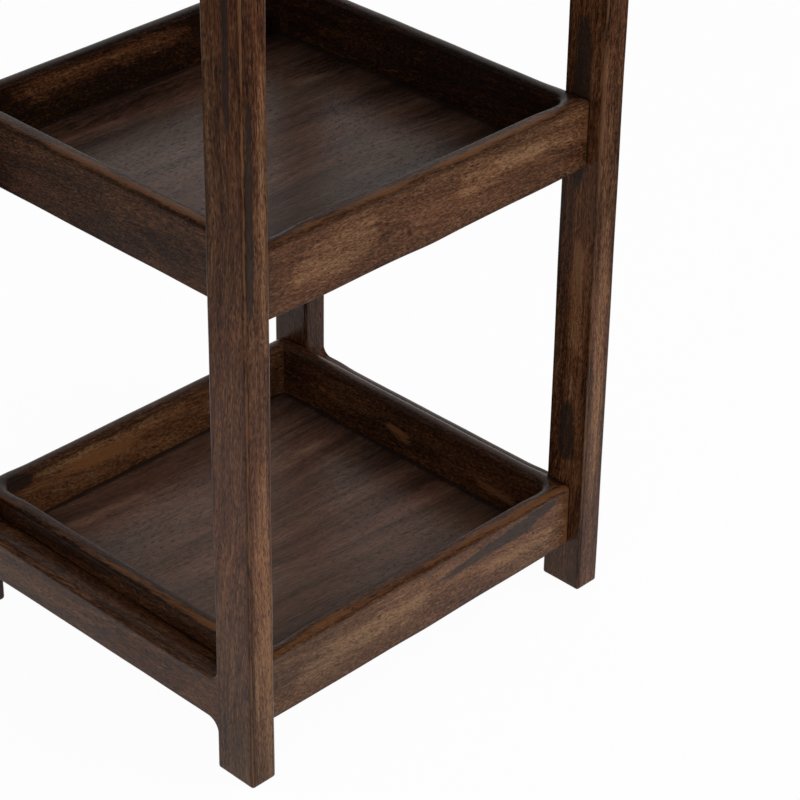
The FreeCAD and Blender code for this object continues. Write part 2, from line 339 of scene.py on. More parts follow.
@dataclass(frozen=True)
class HandWork:
    """Slight unevenness that hand sanding leaves: a sum of slow sine waves through the room."""

    depth: float = 0.35 * MM
    seed: int = 7
    waves: int = 7
    longest: float = 0.20
    shortest: float = 0.05

    def hollows(self, points: Array) -> Array:
        """Work out how far each point is sanded below its flat.

        Args:
            points: Places, three numbers each.

        Returns:
            Depths from 0 to the deepest: the mean of sines of each place along random directions.
        """
        draw = np.random.default_rng(self.seed)
        ways = draw.normal(size=(self.waves, 3))
        ways /= np.linalg.norm(ways, axis=1)[:, None]
        lengths = draw.uniform(self.shortest, self.longest, self.waves)
        phases = draw.uniform(0, 2 * np.pi, self.waves)
        swing = np.sin(points @ (ways * (2 * np.pi / lengths)[:, None]).T + phases).mean(axis=1)
        return self.depth * np.clip(0.5 + swing, 0.0, 1.0)


@dataclass(frozen=True)
class Board:
    """One piece of timber: how it lies, where the tree's heart was, how dark it took the stain and where
    shade is painted on it.
    """

    node: str
    grain: Grain
    seed: int
    tone: float = 0.0
    heart: Spot = (18 * MM, 42 * MM)
    lean: Spot = (0.04, 0.05)
    marks: tuple[Mark, ...] = ()
    # Painted shade along the board's sides, where a floor panel meets the walls, and how far it reaches.
    painted_side_shade: float = 0.0
    side_shade_reach: float = 24 * MM
    # Tone of the face towards the table's middle: painted shade on the walls' inner faces.
    shaded_inner_tone: float | None = None
    trunk_step: float = 0.37
    trunk_length: float = 7.0

    def timber(self, points: Array) -> Array:
        """Place points in the tree that the board was sawn from.

        Args:
            points: Places in the room.

        Returns:
            Each point's place along the trunk, and across it from the heart, which leans along the board.
        """
        axis, wide, thick = self.grain.value
        away = points - (points.min(axis=0) + points.max(axis=0)) / 2
        run = away[:, axis]
        return np.stack([
            run + self.trunk_step * self.seed % self.trunk_length,
            away[:, wide] + self.heart[0] + self.lean[0] * run,
            away[:, thick] + self.heart[1] + self.lean[1] * run,
        ], axis=1)

    def marked(self, shade: Shade, points: Array) -> Array:
        """Give each point the strength of the strongest mark of one shade."""
        strengths = [mark.strength(points) for mark in self.marks if mark.shade is shade]
        return np.max([np.zeros(len(points)), *strengths], axis=0)

    def toned(self, points: Array) -> Array:
        """Work out how dark each point is: the stain's tone, with painted shade.

        Args:
            points: Places in the room.

        Returns:
            The tone, less where shade is painted along the board's sides, falling with the distance from
            them. By a smooth step through the board it becomes the shaded inner tone: painted shade on the
            side towards the table's middle.
        """
        along, wide, thick = self.grain.value
        low, high = points.min(axis=0), points.max(axis=0)
        gap = np.minimum(points - low, high - points)[:, [along, wide]].min(axis=1)
        # Painted shade: darker towards the board's sides.
        tone = self.tone - self.painted_side_shade * np.exp(-gap / self.side_shade_reach)
        if self.shaded_inner_tone is None:
            return tone
        # Painted shade on the inner face, towards the table's middle.
        reach = np.abs(points[:, thick])
        return tone + (self.shaded_inner_tone - self.tone) * smoothed((reach.max() - reach) / np.ptp(reach))


class Maker:
    """Turns skins into finished pieces that stand in for the frame's nodes."""

    def __init__(self, hand: HandWork) -> None:
        """Keep the unevenness that all the pieces share."""
        self.hand = hand

    def piece(self, board: Board, skin: Skin, axes: Axes, finish: Material,
              slot: str, turn: int = 0) -> Piece:
        """Make one piece.

        Args:
            board: The timber that it is made of.
            skin: Its skin, as (plane, plane, level).
            axes: Room axis of each of the skin's three numbers.
            finish: Its material.
            slot: Name of a material slot; not used.
            turn: Quarter turns about the upright axis.

        Returns:
            The finished object.
        """
        rings, columns = skin.edge.shape
        flat = skin.points.reshape(-1, 3)
        room = np.empty_like(flat)
        room[:, axes] = flat
        room[:, :2] = room[:, :2] @ np.linalg.matrix_power(QUARTER_TURN, turn)
        mesh = bpy.data.meshes.new(board.node + "_wood")
        mesh.from_pydata(room.tolist(), [], self.faces(rings, columns, room))
        mesh.update()
        normals = np.empty(room.size, np.float32)
        mesh.vertex_normals.foreach_get("vector", normals)
        normals = normals.reshape(rings, columns, 3).astype(float)
        normals[-1] = normals[-2]
        if not skin.smooth_start:
            normals[0] = normals[1]
        normals = normals.reshape(-1, 3)
        mesh.vertices.foreach_set("co", (room - normals * self.hand.hollows(room)[:, None]).ravel())
        mesh.polygons.foreach_set("use_smooth", np.ones(len(mesh.polygons), bool))
        self.sharp_ends(mesh, rings, columns, skin.smooth_start)
        end_grain = np.abs(normals[:, board.grain.value[0]])
        wear = np.maximum(skin.wear.ravel(), board.marked(Shade.RUBBED, room))
        # The dark marks include painted shade and a painted reflection; the tone includes painted shade
        # along the floors' sides and on the walls' inner faces.
        marks = board.marked(Shade.DARK, room), board.marked(Shade.LIGHT, room)
        self.store(mesh, "timber", board.timber(room))
        self.store(mesh, "shades", np.stack([*marks, board.toned(room)], axis=1))
        self.store(mesh, "handling", np.stack([skin.edge.ravel(), wear, end_grain], axis=1))
        mesh.materials.append(finish)
        piece = bpy.data.objects.new(board.node + "_piece", mesh)
        bpy.context.scene.collection.objects.link(piece)
        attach(piece, BODY)
        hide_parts(board.node)
        return piece

    @staticmethod
    def faces(rings: int, columns: int, points: Array) -> list[list[int]]:
        """Join rings into four-sided faces with a cap at each end, turned to face outwards.

        Args:
            rings: Rings along the piece.
            columns: Points in a ring.
            points: Where the points are.

        Returns:
            Point numbers of each face.
        """
        grid = np.arange(rings * columns).reshape(rings, columns)
        after = np.roll(grid, -1, axis=1)
        quads = np.stack([grid[:-1], after[:-1], after[1:], grid[1:]], axis=-1).reshape(-1, 4)
        corner = points[quads]
        middle = corner.mean(axis=1) - points.mean(axis=0)
        facing = np.cross(corner[:, 2] - corner[:, 0], corner[:, 3] - corner[:, 1])
        caps = np.stack([grid[0, ::-1], grid[-1]])
        way = -1 if (middle * facing).sum() < 0 else 1
        return quads[:, ::way].tolist() + caps[:, ::way].tolist()

    @staticmethod
    def sharp_ends(mesh: bpy.types.Mesh, rings: int, columns: int, smooth_start: bool) -> None:
        """Keep the caps' shading apart from the sides, but for an end that is rounded.

        Args:
            mesh: The piece's mesh.
            rings: Rings along the piece.
            columns: Points in a ring.
            smooth_start: Whether the first end is rounded.
        """
        ends = np.empty(len(mesh.edges) * 2, np.int32)
        mesh.edges.foreach_get("vertices", ends)
        ring = ends.reshape(-1, 2) // columns
        sharp = np.isin(ring, [rings - 1] if smooth_start else [0, rings - 1]).all(axis=1)
        mesh.attributes.new("sharp_edge", "BOOLEAN", "EDGE").data.foreach_set("value", sharp)

    @staticmethod
    def store(mesh: bpy.types.Mesh, name: str, values: Array) -> None:
        """Keep three numbers for each point, for the finish to read."""
        data = mesh.attributes.new(name, "FLOAT_VECTOR", "POINT").data
        data.foreach_set("vector", values.astype(np.float32).ravel())


@dataclass(frozen=True)
class Cloud:
    """Cloudy noise: clouds to the metre along and across the grain, its swing and its finer layers."""

    along: float
    across: float
    swing: float = 1.0
    detail: float = 2.0
    rough: float = 0.5


class NodeSheet:
    """Lays out the nodes of a material or world."""

    def __init__(self, owner: Material | bpy.types.World) -> None:
        """Start from the nodes that the owner comes with.

        Args:
            owner: The material or world.
        """
        owner.use_nodes = True
        self.tree = owner.node_tree
        self.shader = next((node for node in self.tree.nodes if node.type == "BSDF_PRINCIPLED"), None)

    def link(self, value: object, socket: Socket) -> None:
        """Join an output to a socket, or set a plain value on it.

        Args:
            value: The output, number or colour.
            socket: The input that takes it.
        """
        if isinstance(value, Socket):
            self.tree.links.new(value, socket)
        else:
            socket.default_value = value

    def add(self, kind: str, *values: object, **settings: object) -> bpy.types.Node:
        """Add a node.

        Args:
            kind: Its type, without the word that all types start with.
            values: What its inputs take, in their order.
            settings: Its named settings.

        Returns:
            The node.
        """
        node = self.tree.nodes.new("ShaderNode" + kind)
        for name, setting in settings.items():
            setattr(node, name, setting)
        for socket, value in zip(node.inputs, values):
            self.link(value, socket)
        return node

    def parts(self, vector: Socket) -> list[Socket]:
        """Take a vector's three numbers apart."""
        return list(self.add("SeparateXYZ", vector).outputs)

    def read(self, name: str) -> Socket:
        """Read one of the piece's own attributes."""
        return self.add("Attribute", attribute_name=name).outputs["Vector"]

    def sum(self, operation: str, *values: object) -> Socket:
        """Work out a number from up to three others."""
        return self.add("Math", *values, operation=operation).outputs[0]

    def vector(self, operation: str, *values: object) -> Socket:
        """Work out a vector from up to three others."""
        return self.add("VectorMath", *values, operation=operation).outputs[0]

    def measure(self, operation: str, *values: object) -> Socket:
        """Work out a number from vectors: a length, or a product of two."""
        return self.add("VectorMath", *values, operation=operation).outputs["Value"]

    def swing(self, value: object, size: float, base: object) -> Socket:
        """Add to a base the swing of a value about its middle: (value - 0.5) * size + base."""
        return self.sum("MULTIPLY_ADD", self.sum("SUBTRACT", value, 0.5), size, base)

    def cloudy(self, base: object, place: object, cloud: Cloud) -> Socket:
        """Add to a base the swing of a cloud about its middle."""
        return self.swing(self.noise(place, cloud), cloud.swing, base)

    def span(self, value: object, low: float, high: float) -> Socket:
        """Spread a number smoothly so that low becomes 0 and high becomes 1, held between them."""
        return self.add("MapRange", value, low, high, interpolation_type="SMOOTHSTEP").outputs["Result"]

    def spread(self, place: object, cloud: Cloud) -> Socket:
        """Scale places, which run along the grain first, to a cloud's own measure."""
        return self.vector("MULTIPLY", place, (cloud.along, cloud.across, cloud.across))

    def noise(self, place: object, cloud: Cloud, output: str = "Fac") -> Socket:
        """Draw cloudy noise, as a number or as a colour."""
        node = self.add("TexNoise", self.spread(place, cloud), 0.0, 1.0, cloud.detail, cloud.rough)
        return node.outputs[output]

    def ramp(self, value: object, stops: list[tuple[float, Colour]]) -> Socket:
        """Turn a number into a colour.

        Args:
            value: The number.
            stops: Places along a scale, with their colours.

        Returns:
            The colour.
        """
        node = self.add("ValToRGB", value)
        while len(node.color_ramp.elements) < len(stops):
            node.color_ramp.elements.new(1.0)
        for element, (place, colour) in zip(node.color_ramp.elements, stops):
            element.position = place
            element.color = (*colour, 1.0)
        return node.outputs["Color"]

    def mix(self, share: object, first: object, second: object, blend: str = "MIX") -> Socket:
        """Mix two colours.

        Args:
            share: Share of the second.
            first: An output or a colour.
            second: Another.
            blend: How they mix.

        Returns:
            The mixed colour.
        """
        node = self.add("Mix", share, data_type="RGBA", blend_type=blend)
        for value, socket in ((first, node.inputs[6]), (second, node.inputs[7])):
            self.link((*value, 1.0) if isinstance(value, tuple) else value, socket)
        return node.outputs[2]


@dataclass(frozen=True)
class StainedWood:
    """Open-pored hardwood under dark stain and satin lacquer, rubbed through a little on its edges."""

    name: str
    deepest: Colour = (0.0075, 0.0034, 0.0020)
    dark: Colour = (0.029, 0.0110, 0.0047)
    middle: Colour = (0.072, 0.0280, 0.0112)
    light: Colour = (0.119, 0.057, 0.0270)
    golden: Colour = (0.187, 0.101, 0.051)
    # Colour of dark streaks, also given to the dark marks that paint shade.
    mineral_and_shade: Colour = (0.0160, 0.0105, 0.0085)
    worn: Colour = (0.164, 0.066, 0.024)
    warm_tint: Colour = (1.12, 0.94, 0.86)
    cool_tint: Colour = (0.98, 1.00, 0.96)
    tint_drift: Cloud = Cloud(5.0, 18.0)
    tint_span: Spot = (0.32, 0.68)
    wander: Cloud = Cloud(3.6, 12.0, 36.0 * MM)
    curl: Cloud = Cloud(60.0, 120.0, 3.2 * MM)
    ring_width: float = 6.0 * MM
    mid_shade: float = 0.49
    bands: Cloud = Cloud(1.0, 2.5, 0.58, 3.0, 0.6)
    fine_bands: Cloud = Cloud(4.7, 7.0, 0.46, 2.0, 0.6)
    figure: float = 1.0
    patches: Cloud = Cloud(9.0, 40.0, 0.62, 3.0, 0.55)
    fibres: Cloud = Cloud(36.0, 1100.0, 1.50, 3.0, 0.65)
    flecks: Cloud = Cloud(150.0, 900.0, 0.50)
    pale_streaks: Cloud = Cloud(16.0, 210.0, 1.6, 3.0, 0.6)
    pale_span: Spot = (0.05, 0.85)
    pale_gate: Spot = (0.0, 0.4)
    pale_lift: float = 0.30
    pore_dashes: Cloud = Cloud(150.0, 1250.0)
    pore_span: Spot = (0.36, 0.22)
    pore_crowds: Cloud = Cloud(16.0, 90.0)
    crowd_span: Spot = (0.62, 0.86)
    pore_depth: float = 0.80
    ragged: Cloud = Cloud(14.0, 230.0, 1.1, 3.0, 0.6)
    mark_span: Spot = (0.10, 0.45)
    mark_gate: Spot = (0.0, 0.2)
    mark_depth: float = 0.82
    mineral_streaks: Cloud = Cloud(2.4, 46.0)
    mineral_span: Spot = (0.64, 0.72)
    mineral_depth: float = 0.35
    end_span: Spot = (0.75, 0.97)
    end_depth: float = 0.50
    gathered_span: Spot = (0.18, 0.5)
    gathered_depth: float = 0.38
    rub_fibres: float = 1.6
    rub_lengths: Cloud = Cloud(13.0, 60.0, 2.4, 3.0, 0.6)
    rub_span: Spot = (0.30, 1.0)
    rub_gate: Spot = (0.05, 0.35)
    rub_depth: float = 0.66
    smears: Cloud = Cloud(9.0, 22.0, 0.22)
    gloss_rough: float = 0.36
    polish_span: Spot = (0.3, 0.8)
    edge_polish: float = 0.07
    pore_rough: float = 0.15
    ior: float = 1.24
    relief: float = 0.30 * MM
    relief_strength: float = 0.35
    fibre_rise: float = 0.6
    smear_rise: float = 0.9
    pore_sink: float = 0.9

    def material(self) -> Material:
        """Make the finish's material, which reads the piece's timber, shades and handling."""
        material = bpy.data.materials.new(self.name)
        return WoodSheet(material, self).laid()


class WoodSheet(NodeSheet):
    """Lays out a stained wood, from what the piece says of itself at each place."""

    def __init__(self, owner: Material, wood: StainedWood) -> None:
        """Read the piece's attributes, and draw the grain's flow, fibres and pores.

        Args:
            owner: The material.
            wood: The finish.
        """
        super().__init__(owner)
        self.owner = owner
        self.wood = wood
        self.timber = self.read("timber")
        self.dark_mark, self.light_mark, self.tone = self.parts(self.read("shades"))
        self.edge, self.wear, self.end_grain = self.parts(self.read("handling"))
        self.flow = self.bent()
        self.fibre = self.noise(self.flow, wood.fibres)
        self.pores = self.scattered()

    def laid(self) -> Material:
        """Lay the stained colour under satin lacquer, duller in pores and polished on edges.

        Returns:
            The material.
        """
        wood = self.wood
        smear = self.noise(self.timber, wood.smears)
        rough = self.swing(smear, wood.smears.swing, wood.gloss_rough)
        rough = self.sum("MULTIPLY_ADD", self.span(self.edge, *wood.polish_span), -wood.edge_polish, rough)
        height = self.sum("MULTIPLY", self.fibre, wood.fibre_rise)
        height = self.sum("MULTIPLY_ADD", self.pores, -wood.pore_sink, height)
        bump = self.add("Bump")
        for node, name, value in (
            (bump, "Strength", wood.relief_strength),
            (bump, "Distance", wood.relief),
            (bump, "Height", self.sum("MULTIPLY_ADD", smear, wood.smear_rise, height)),
            (self.shader, "Normal", bump.outputs["Normal"]),
            (self.shader, "Roughness", self.sum("MULTIPLY_ADD", self.pores, wood.pore_rough, rough)),
            (self.shader, "IOR", wood.ior),
            (self.shader, "Base Color", self.stained(self.coloured())),
        ):
            self.link(value, node.inputs[name])
        return self.owner

    def bent(self) -> Socket:
        """Bend the timber's places sideways, so that the grain wanders and curls.

        Returns:
            Each place with the swing of a slow and a quick cloud added across the grain.
        """
        place = self.timber
        for cloud in (self.wood.wander, self.wood.curl):
            swing = self.vector("SUBTRACT", self.noise(self.timber, cloud, "Color"), (0.5, 0.5, 0.5))
            place = self.vector("MULTIPLY_ADD", swing, (0.0, cloud.swing, cloud.swing), place)
        return place

    def scattered(self) -> Socket:
        """Scatter pores.

        Returns:
            Strength of short dashes along the grain, thicker in some places than in others.
        """
        wood = self.wood
        dots = self.add("TexVoronoi", self.spread(self.flow, wood.pore_dashes), 0.0, 1.0).outputs
        dash = self.span(dots["Distance"], *wood.pore_span)
        crowd = self.sum("ADD", self.parts(dots["Color"])[0], self.noise(self.flow, wood.pore_crowds))
        return self.sum("MULTIPLY", dash, self.span(crowd, *wood.crowd_span))

    def grown(self) -> Socket:
        """Shade the growth layers.

        Returns:
            A shade from uneven bands by distance from the heart, with slow lighter patches.
        """
        wood = self.wood
        across = self.measure("LENGTH", self.vector("MULTIPLY", self.flow, (0.0, 1.0, 1.0)))
        layer = self.sum("DIVIDE", across, wood.ring_width)
        place = self.add("CombineXYZ", layer, self.parts(self.flow)[0]).outputs[0]
        shade = wood.mid_shade
        for cloud in (wood.bands, wood.fine_bands):
            shade = self.swing(self.noise(place, cloud), cloud.swing * wood.figure, shade)
        return self.cloudy(shade, self.flow, wood.patches)

    def coloured(self) -> Socket:
        """Turn growth, fibres, flecks and pale marks into a colour.

        Returns:
            The colour, with a slow drift of its tint.
        """
        wood = self.wood
        # The tone carries painted shade along the floors' sides and on the walls' inner faces.
        shade = self.swing(self.fibre, wood.fibres.swing, self.sum("ADD", self.grown(), self.tone))
        shade = self.cloudy(shade, self.flow, wood.flecks)
        pale = self.span(self.cloudy(self.light_mark, self.flow, wood.pale_streaks), *wood.pale_span)
        pale = self.sum("MULTIPLY", pale, self.span(self.light_mark, *wood.pale_gate))
        shade = self.sum("MULTIPLY_ADD", pale, wood.pale_lift, shade)
        steps = wood.deepest, wood.dark, wood.middle, wood.light, wood.golden
        colour = self.ramp(shade, [(number / 4, step) for number, step in enumerate(steps)])
        drift = self.noise(self.timber, wood.tint_drift)
        tint = self.ramp(drift, list(zip(wood.tint_span, (wood.warm_tint, wood.cool_tint))))
        return self.mix(1.0, colour, tint, "MULTIPLY")

    def stained(self, colour: Socket) -> Socket:
        """Darken streaks, dark marks (some of them painted shade), pores, end grain and edges, and rub the
        stain through in lengths.

        Args:
            colour: Colour so far.

        Returns:
            The colour with its stains.
        """
        wood = self.wood
        streak = self.span(self.noise(self.flow, wood.mineral_streaks), *wood.mineral_span)
        marked = self.span(self.cloudy(self.dark_mark, self.flow, wood.ragged), *wood.mark_span)
        marked = self.sum("MULTIPLY", marked, self.span(self.dark_mark, *wood.mark_gate))
        rubbed = self.swing(self.fibre, wood.rub_fibres, self.wear)
        rubbed = self.span(self.cloudy(rubbed, self.timber, wood.rub_lengths), *wood.rub_span)
        rubbed = self.sum("MULTIPLY", rubbed, self.span(self.wear, *wood.rub_gate))
        for strength, depth, stain in (
            (streak, wood.mineral_depth, wood.mineral_and_shade),
            # Dark marks, some of them painted shade and a painted reflection, take the streaks' colour.
            (marked, wood.mark_depth, wood.mineral_and_shade),
            (self.pores, wood.pore_depth, wood.deepest),
            (self.span(self.end_grain, *wood.end_span), wood.end_depth, wood.dark),
            (self.span(self.edge, *wood.gathered_span), wood.gathered_depth, wood.deepest),
            (rubbed, wood.rub_depth, wood.worn),
        ):
            colour = self.mix(self.sum("MULTIPLY", strength, depth), colour, stain)
        return colour


@dataclass(frozen=True)
class SawnWood:
    """Plain pale hardwood of the hidden tenons."""

    name: str = "sawn_tenon_wood"
    pale: Colour = (0.42, 0.29, 0.17)
    brown: Colour = (0.30, 0.19, 0.10)
    fibres: Cloud = Cloud(60.0, 900.0, detail=3.0)
    rough: float = 0.7

    def material(self) -> Material:
        """Lay out the finish's nodes.

        Returns:
            The material: fibres along the tenon, on the node's own coordinates.
        """
        material = bpy.data.materials.new(self.name)
        sheet = NodeSheet(material)
        fibre = sheet.noise(sheet.add("TexCoord").outputs["Object"], self.fibres)
        colour = sheet.ramp(fibre, [(0.3, self.brown), (0.7, self.pale)])
        sheet.link(colour, sheet.shader.inputs["Base Color"])
        sheet.link(self.rough, sheet.shader.inputs["Roughness"])
        return material


FRAME_WOOD = StainedWood(
    "stained_frame_wood", worn=(0.158, 0.073, 0.033), figure=1.45,
    fibres=Cloud(36.0, 1100.0, 1.15, 3.0, 0.65), flecks=Cloud(220.0, 900.0, 0.95),
)
TRAY_WOOD = StainedWood(
    "stained_tray_wood", middle=(0.070, 0.0290, 0.0124), light=(0.119, 0.060, 0.0285),
    golden=(0.187, 0.107, 0.055), curl=Cloud(60.0, 120.0, 5.5 * MM),
    fibres=Cloud(36.0, 1100.0, 0.85, 3.0, 0.65), flecks=Cloud(300.0, 900.0, 1.15),
)
FLOOR_WOOD = StainedWood(
    "stained_floor_wood", dark=(0.039, 0.0205, 0.0145), middle=(0.082, 0.0445, 0.0315),
    light=(0.135, 0.077, 0.054), golden=(0.190, 0.112, 0.075), figure=1.10, ring_width=15 * MM,
    gloss_rough=0.30, pore_depth=0.50, fibres=Cloud(36.0, 1100.0, 0.85, 3.0, 0.65),
)
LEG_TONES: dict[str, float] = {"front_left_leg": 0.0, "front_right_leg": -0.03}
LEG_MARKS: dict[str, tuple[Mark, ...]] = {
    "front_left_leg": (
        Mark(Shade.DARK, (-178, -151, 640), (-178, -152, 490), 4.5, 3.0),
        Mark(Shade.DARK, (-173, -165, 520), (-173, -165, 360), 3.5, 5.0),
        Mark(Shade.LIGHT, (-160, -165, 560), (-160, -165, 330), 6.5, 7.5),
        Mark(Shade.LIGHT, (-163, -165, 270), (-163, -165, -20), 14.0, 20.0),
    ),
    "front_right_leg": (
        # Painted shade on the leg's inner face by the middle tray.
        Mark(Shade.DARK, (156, -145, 470), (156, -145, 330), 10.0, 9.0),
        Mark(Shade.RUBBED, (156, -164, 470), (156, -164, 335), 7.0, 6.0),
        Mark(Shade.RUBBED, (156, -165, 400), (156, -165, 150), 5.0, 4.5),
        Mark(Shade.RUBBED, (156, -150, 300), (156, -149, 205), 7.0, 8.0),
        Mark(Shade.LIGHT, (156, -150, 298), (156, -150, 196), 11.0, 13.0),
        # Painted reflection of the lower tray: a dark band on the leg's inner face.
        Mark(Shade.DARK, (156, -146, 160), (156, -146, 110), 8.0, 13.0),
        Mark(Shade.LIGHT, (167, -165, 330), (167, -165, 60), 8.0, 10.0),
    ),
}
WALL_MARKS: dict[str, tuple[Mark, ...]] = {
    "lower_tray_front_wall": (
        Mark(Shade.DARK, (12, -154, 73), (120, -154, 78), 2.5, 9.5),
        Mark(Shade.DARK, (82, -154, 76), (142, -154, 85), 9.5, 4.5),
        Mark(Shade.LIGHT, (-130, -154, 62), (10, -154, 66), 18.0, 14.0),
        Mark(Shade.LIGHT, (60, -154, 60), (140, -154, 58), 8.0, 9.0),
    ),
    "middle_tray_front_wall": (
        Mark(Shade.LIGHT, (-130, -154, 376), (-45, -154, 384), 22.0, 24.0),
        Mark(Shade.LIGHT, (20, -154, 384), (115, -154, 386), 12.0, 13.0),
    ),
    "lower_tray_rear_wall": (
        Mark(Shade.LIGHT, (-120, 141, 82), (45, 141, 82), 6.0, 7.0),
        Mark(Shade.RUBBED, (-135, 141, 72), (60, 141, 75), 10.0, 13.0),
        # Painted shade in the tray's rear left corner.
        Mark(Shade.DARK, (-160, 141, 86), (-112, 141, 84), 18.0, 6.0),
    ),
    "middle_tray_rear_wall": (Mark(Shade.LIGHT, (-120, 141, 394), (60, 141, 396), 15.0, 16.0),),
    "lower_tray_right_wall": (
        Mark(Shade.RUBBED, (143, 27, 70), (143, -2, 63), 6.5, 7.0),
        Mark(Shade.RUBBED, (143, 104, 70), (143, 74, 68), 6.0, 7.0),
        Mark(Shade.RUBBED, (143, -64, 62), (143, -112, 60), 5.0, 7.0),
    ),
}
WALL_SAGS: dict[str, float] = {"lower_tray_front_wall": 1.2 * MM, "middle_tray_front_wall": 2.4 * MM}
RIM_WEAR: dict[Wall, float] = {Wall.FRONT: 0.90, Wall.RIGHT: 0.12, Wall.REAR: 0.12, Wall.LEFT: 0.80}
# Each wall's tone, then its inner face's tone, which paints shade inside the trays, deepest in the middle
# tray under the upper one.
WALL_TONES: dict[str, Spot] = {
    "lower_tray_front_wall": (0.06, 0.0),
    "middle_tray_front_wall": (0.02, -0.10),
    "lower_tray_left_wall": (-0.26, -0.10),
    "middle_tray_left_wall": (-0.12, -0.15),
    "lower_tray_rear_wall": (-0.02, 0.0),
    "middle_tray_rear_wall": (-0.06, -0.50),
    "lower_tray_right_wall": (-0.04, -0.20),
    "middle_tray_right_wall": (-0.06, -0.46),
}


@dataclass(frozen=True)
class SideFrame:
    """Two legs and two rails, rounded over as one after gluing."""

    side: Side
    maker: Maker
    finish: Material
    edge_round: float = 2.5 * MM
    corner: float = 12 * MM
    flare_under: float = 9 * MM
    flare_over: float = 7 * MM
    shoulder_down: float = 1.5 * MM
    shoulder_in: float = 3.5 * MM
    shoulder_start: float = 0.88
    shoulder_rate: float = 6.0
    least_foot: float = 0.15 * MM
    front_wear: float = 0.85
    rear_wear: float = 0.40
    shoulder_wear: float = 0.50
    rub_spread: float = 24.0
    rear_tone: float = -0.18
    rail_tone: float = -0.05
    foot_steps: int = 6
    post_steps: int = 120
    corner_steps: int = 12
    top_steps: int = 6
    flare_steps: int = 12
    rail_steps: int = 60
    slot: str = "frame_wood"
    axes: Axes = (1, 2, 0)

    def build(self) -> list[Piece]:
        """Make the four pieces of the frame."""
        return [self.leg(end) for end in End] + [self.rail(tier) for tier in (Tier.LOWER, Tier.UPPER)]

    def leg(self, end: End) -> Piece:
        """Make a leg: a straight post with a rounded foot, whose top turns a round corner into the rail.

        Args:
            end: The leg's end of the table.

        Returns:
            The piece.
        """
        node = f"{end.name.lower()}_{self.side.value}_leg"
        way = end.value
        low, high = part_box(node)
        outer, inner = (high.y, low.y) if way > 0 else (low.y, high.y)
        top = high.z
        turns = np.linspace(np.pi / 2, 0.0, self.foot_steps + 1)
        foot = self.edge_round * (1 - np.sin(turns))
        drawn = np.minimum(self.edge_round * (1 - np.cos(turns)), self.edge_round - self.least_foot)
        post = np.linspace(self.edge_round, top - self.corner, self.post_steps + 1)[1:]
        heights = np.concatenate([foot, post])
        shares = heights / heights[-1]
        sweep = np.linspace(0.0, np.pi / 2, self.corner_steps + 1)[1:]
        around = sweep if way > 0 else np.pi - sweep
        middle = outer - way * self.corner
        flat = np.linspace(0.0, 1.0, self.top_steps + 1)[1:]
        first = Contour.joined([
            Contour.line((outer, 0.0), (outer, heights[-1]), (way, 0.0), shares),
            Contour.arc((middle, top - self.corner), self.corner, around, (way, 1.0)),
            Contour.line((middle, top), (inner + way * self.edge_round, top), (0.0, 1.0), flat),
        ])
        pivot = (inner, heights[-1])
        second = Contour.joined([
            Contour.line((inner, 0.0), pivot, (-way, 0.0), shares),
            Contour.line(pivot, pivot, (-way, 0.0), np.ones(len(sweep) + len(flat))),
        ])
        inset = np.concatenate([drawn, np.zeros(len(first.points) - len(drawn))])
        ribbon = self.ribbon(first, second, low.x, high.x, self.front_wear if way < 0 else self.rear_wear)
        number = 11 + 2 * (way > 0) + 5 * (self.side is Side.RIGHT)
        tone = LEG_TONES.get(node, self.rear_tone)
        board = Board(node, Grain.ALONG_Z, number, tone, lean=(0.012, 0.02), marks=LEG_MARKS.get(node, ()))
        return self.maker.piece(board, ribbon.skin(inset), self.axes, self.finish, self.slot)

    def ribbon(self, first: Contour, second: Contour, low: float, high: float, wear: float) -> Ribbon:
        """Round all four long edges of a frame member alike."""
        form = Round(self.edge_round, self.edge_round, wear, spread=self.rub_spread)
        return Ribbon(first, second, low, high, form, form, form, form)

    def softened(self, rail: Ribbon) -> Ribbon:
        """Soften a rail's upper outer edge: its round grows by a smooth step over a sixth of each half.

        Args:
            rail: The rail with all its edges alike.

        Returns:
            The rail with its softer shoulder.
        """
        places = rail.first.points[:, 0]
        middle = (places[0] + places[-1]) / 2
        run = np.abs(places - middle) / (places[-1] - middle)
        growth = smoothed((self.shoulder_start - run) * self.shoulder_rate)
        inset, drop = (self.edge_round + growth * more for more in (self.shoulder_down, self.shoulder_in))
        shoulder = replace(rail.first_low, inset=inset, drop=drop, wear=self.shoulder_wear)
        if self.side is Side.LEFT:
            return replace(rail, first_low=shoulder)
        return replace(rail, first_high=shoulder)

    def rail(self, tier: Tier) -> Piece:
        """Make a rail: straight, flaring at its ends in hollow quarter circles that run out on the legs.

        Args:
            tier: The tray that it stands beside.

        Returns:
            The piece.
        """
        node = f"{tier.value}_{self.side.value}_rail"
        front_low, front_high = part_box(f"front_{self.side.value}_leg")
        start, stop = front_high.y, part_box(f"rear_{self.side.value}_leg")[0].y
        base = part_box(f"{tier.value}_tray_front_wall")[0].z
        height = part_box(f"upper_{self.side.value}_rail")[1].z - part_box("upper_tray_front_wall")[0].z
        under = self.flared(start, stop, base, self.flare_under, -1)
        if tier is Tier.LOWER:
            over = self.flared(start, stop, base + height, self.flare_over, 1)
        else:
            run = (under.points[:, 0] - start) / (stop - start)
            ends = (start - self.edge_round, base + height), (stop + self.edge_round, base + height)
            over = Contour.line(*ends, (0.0, 1.0), run)
        ribbon = self.softened(self.ribbon(over, under, front_low.x, front_high.x, self.front_wear))
        number = 31 + 3 * (tier is Tier.UPPER) + 7 * (self.side is Side.RIGHT)
        board = Board(node, Grain.ALONG_Y_UPRIGHT, number, self.rail_tone, lean=(0.05, 0.02))
        return self.maker.piece(board, ribbon.skin(), self.axes, self.finish, self.slot)

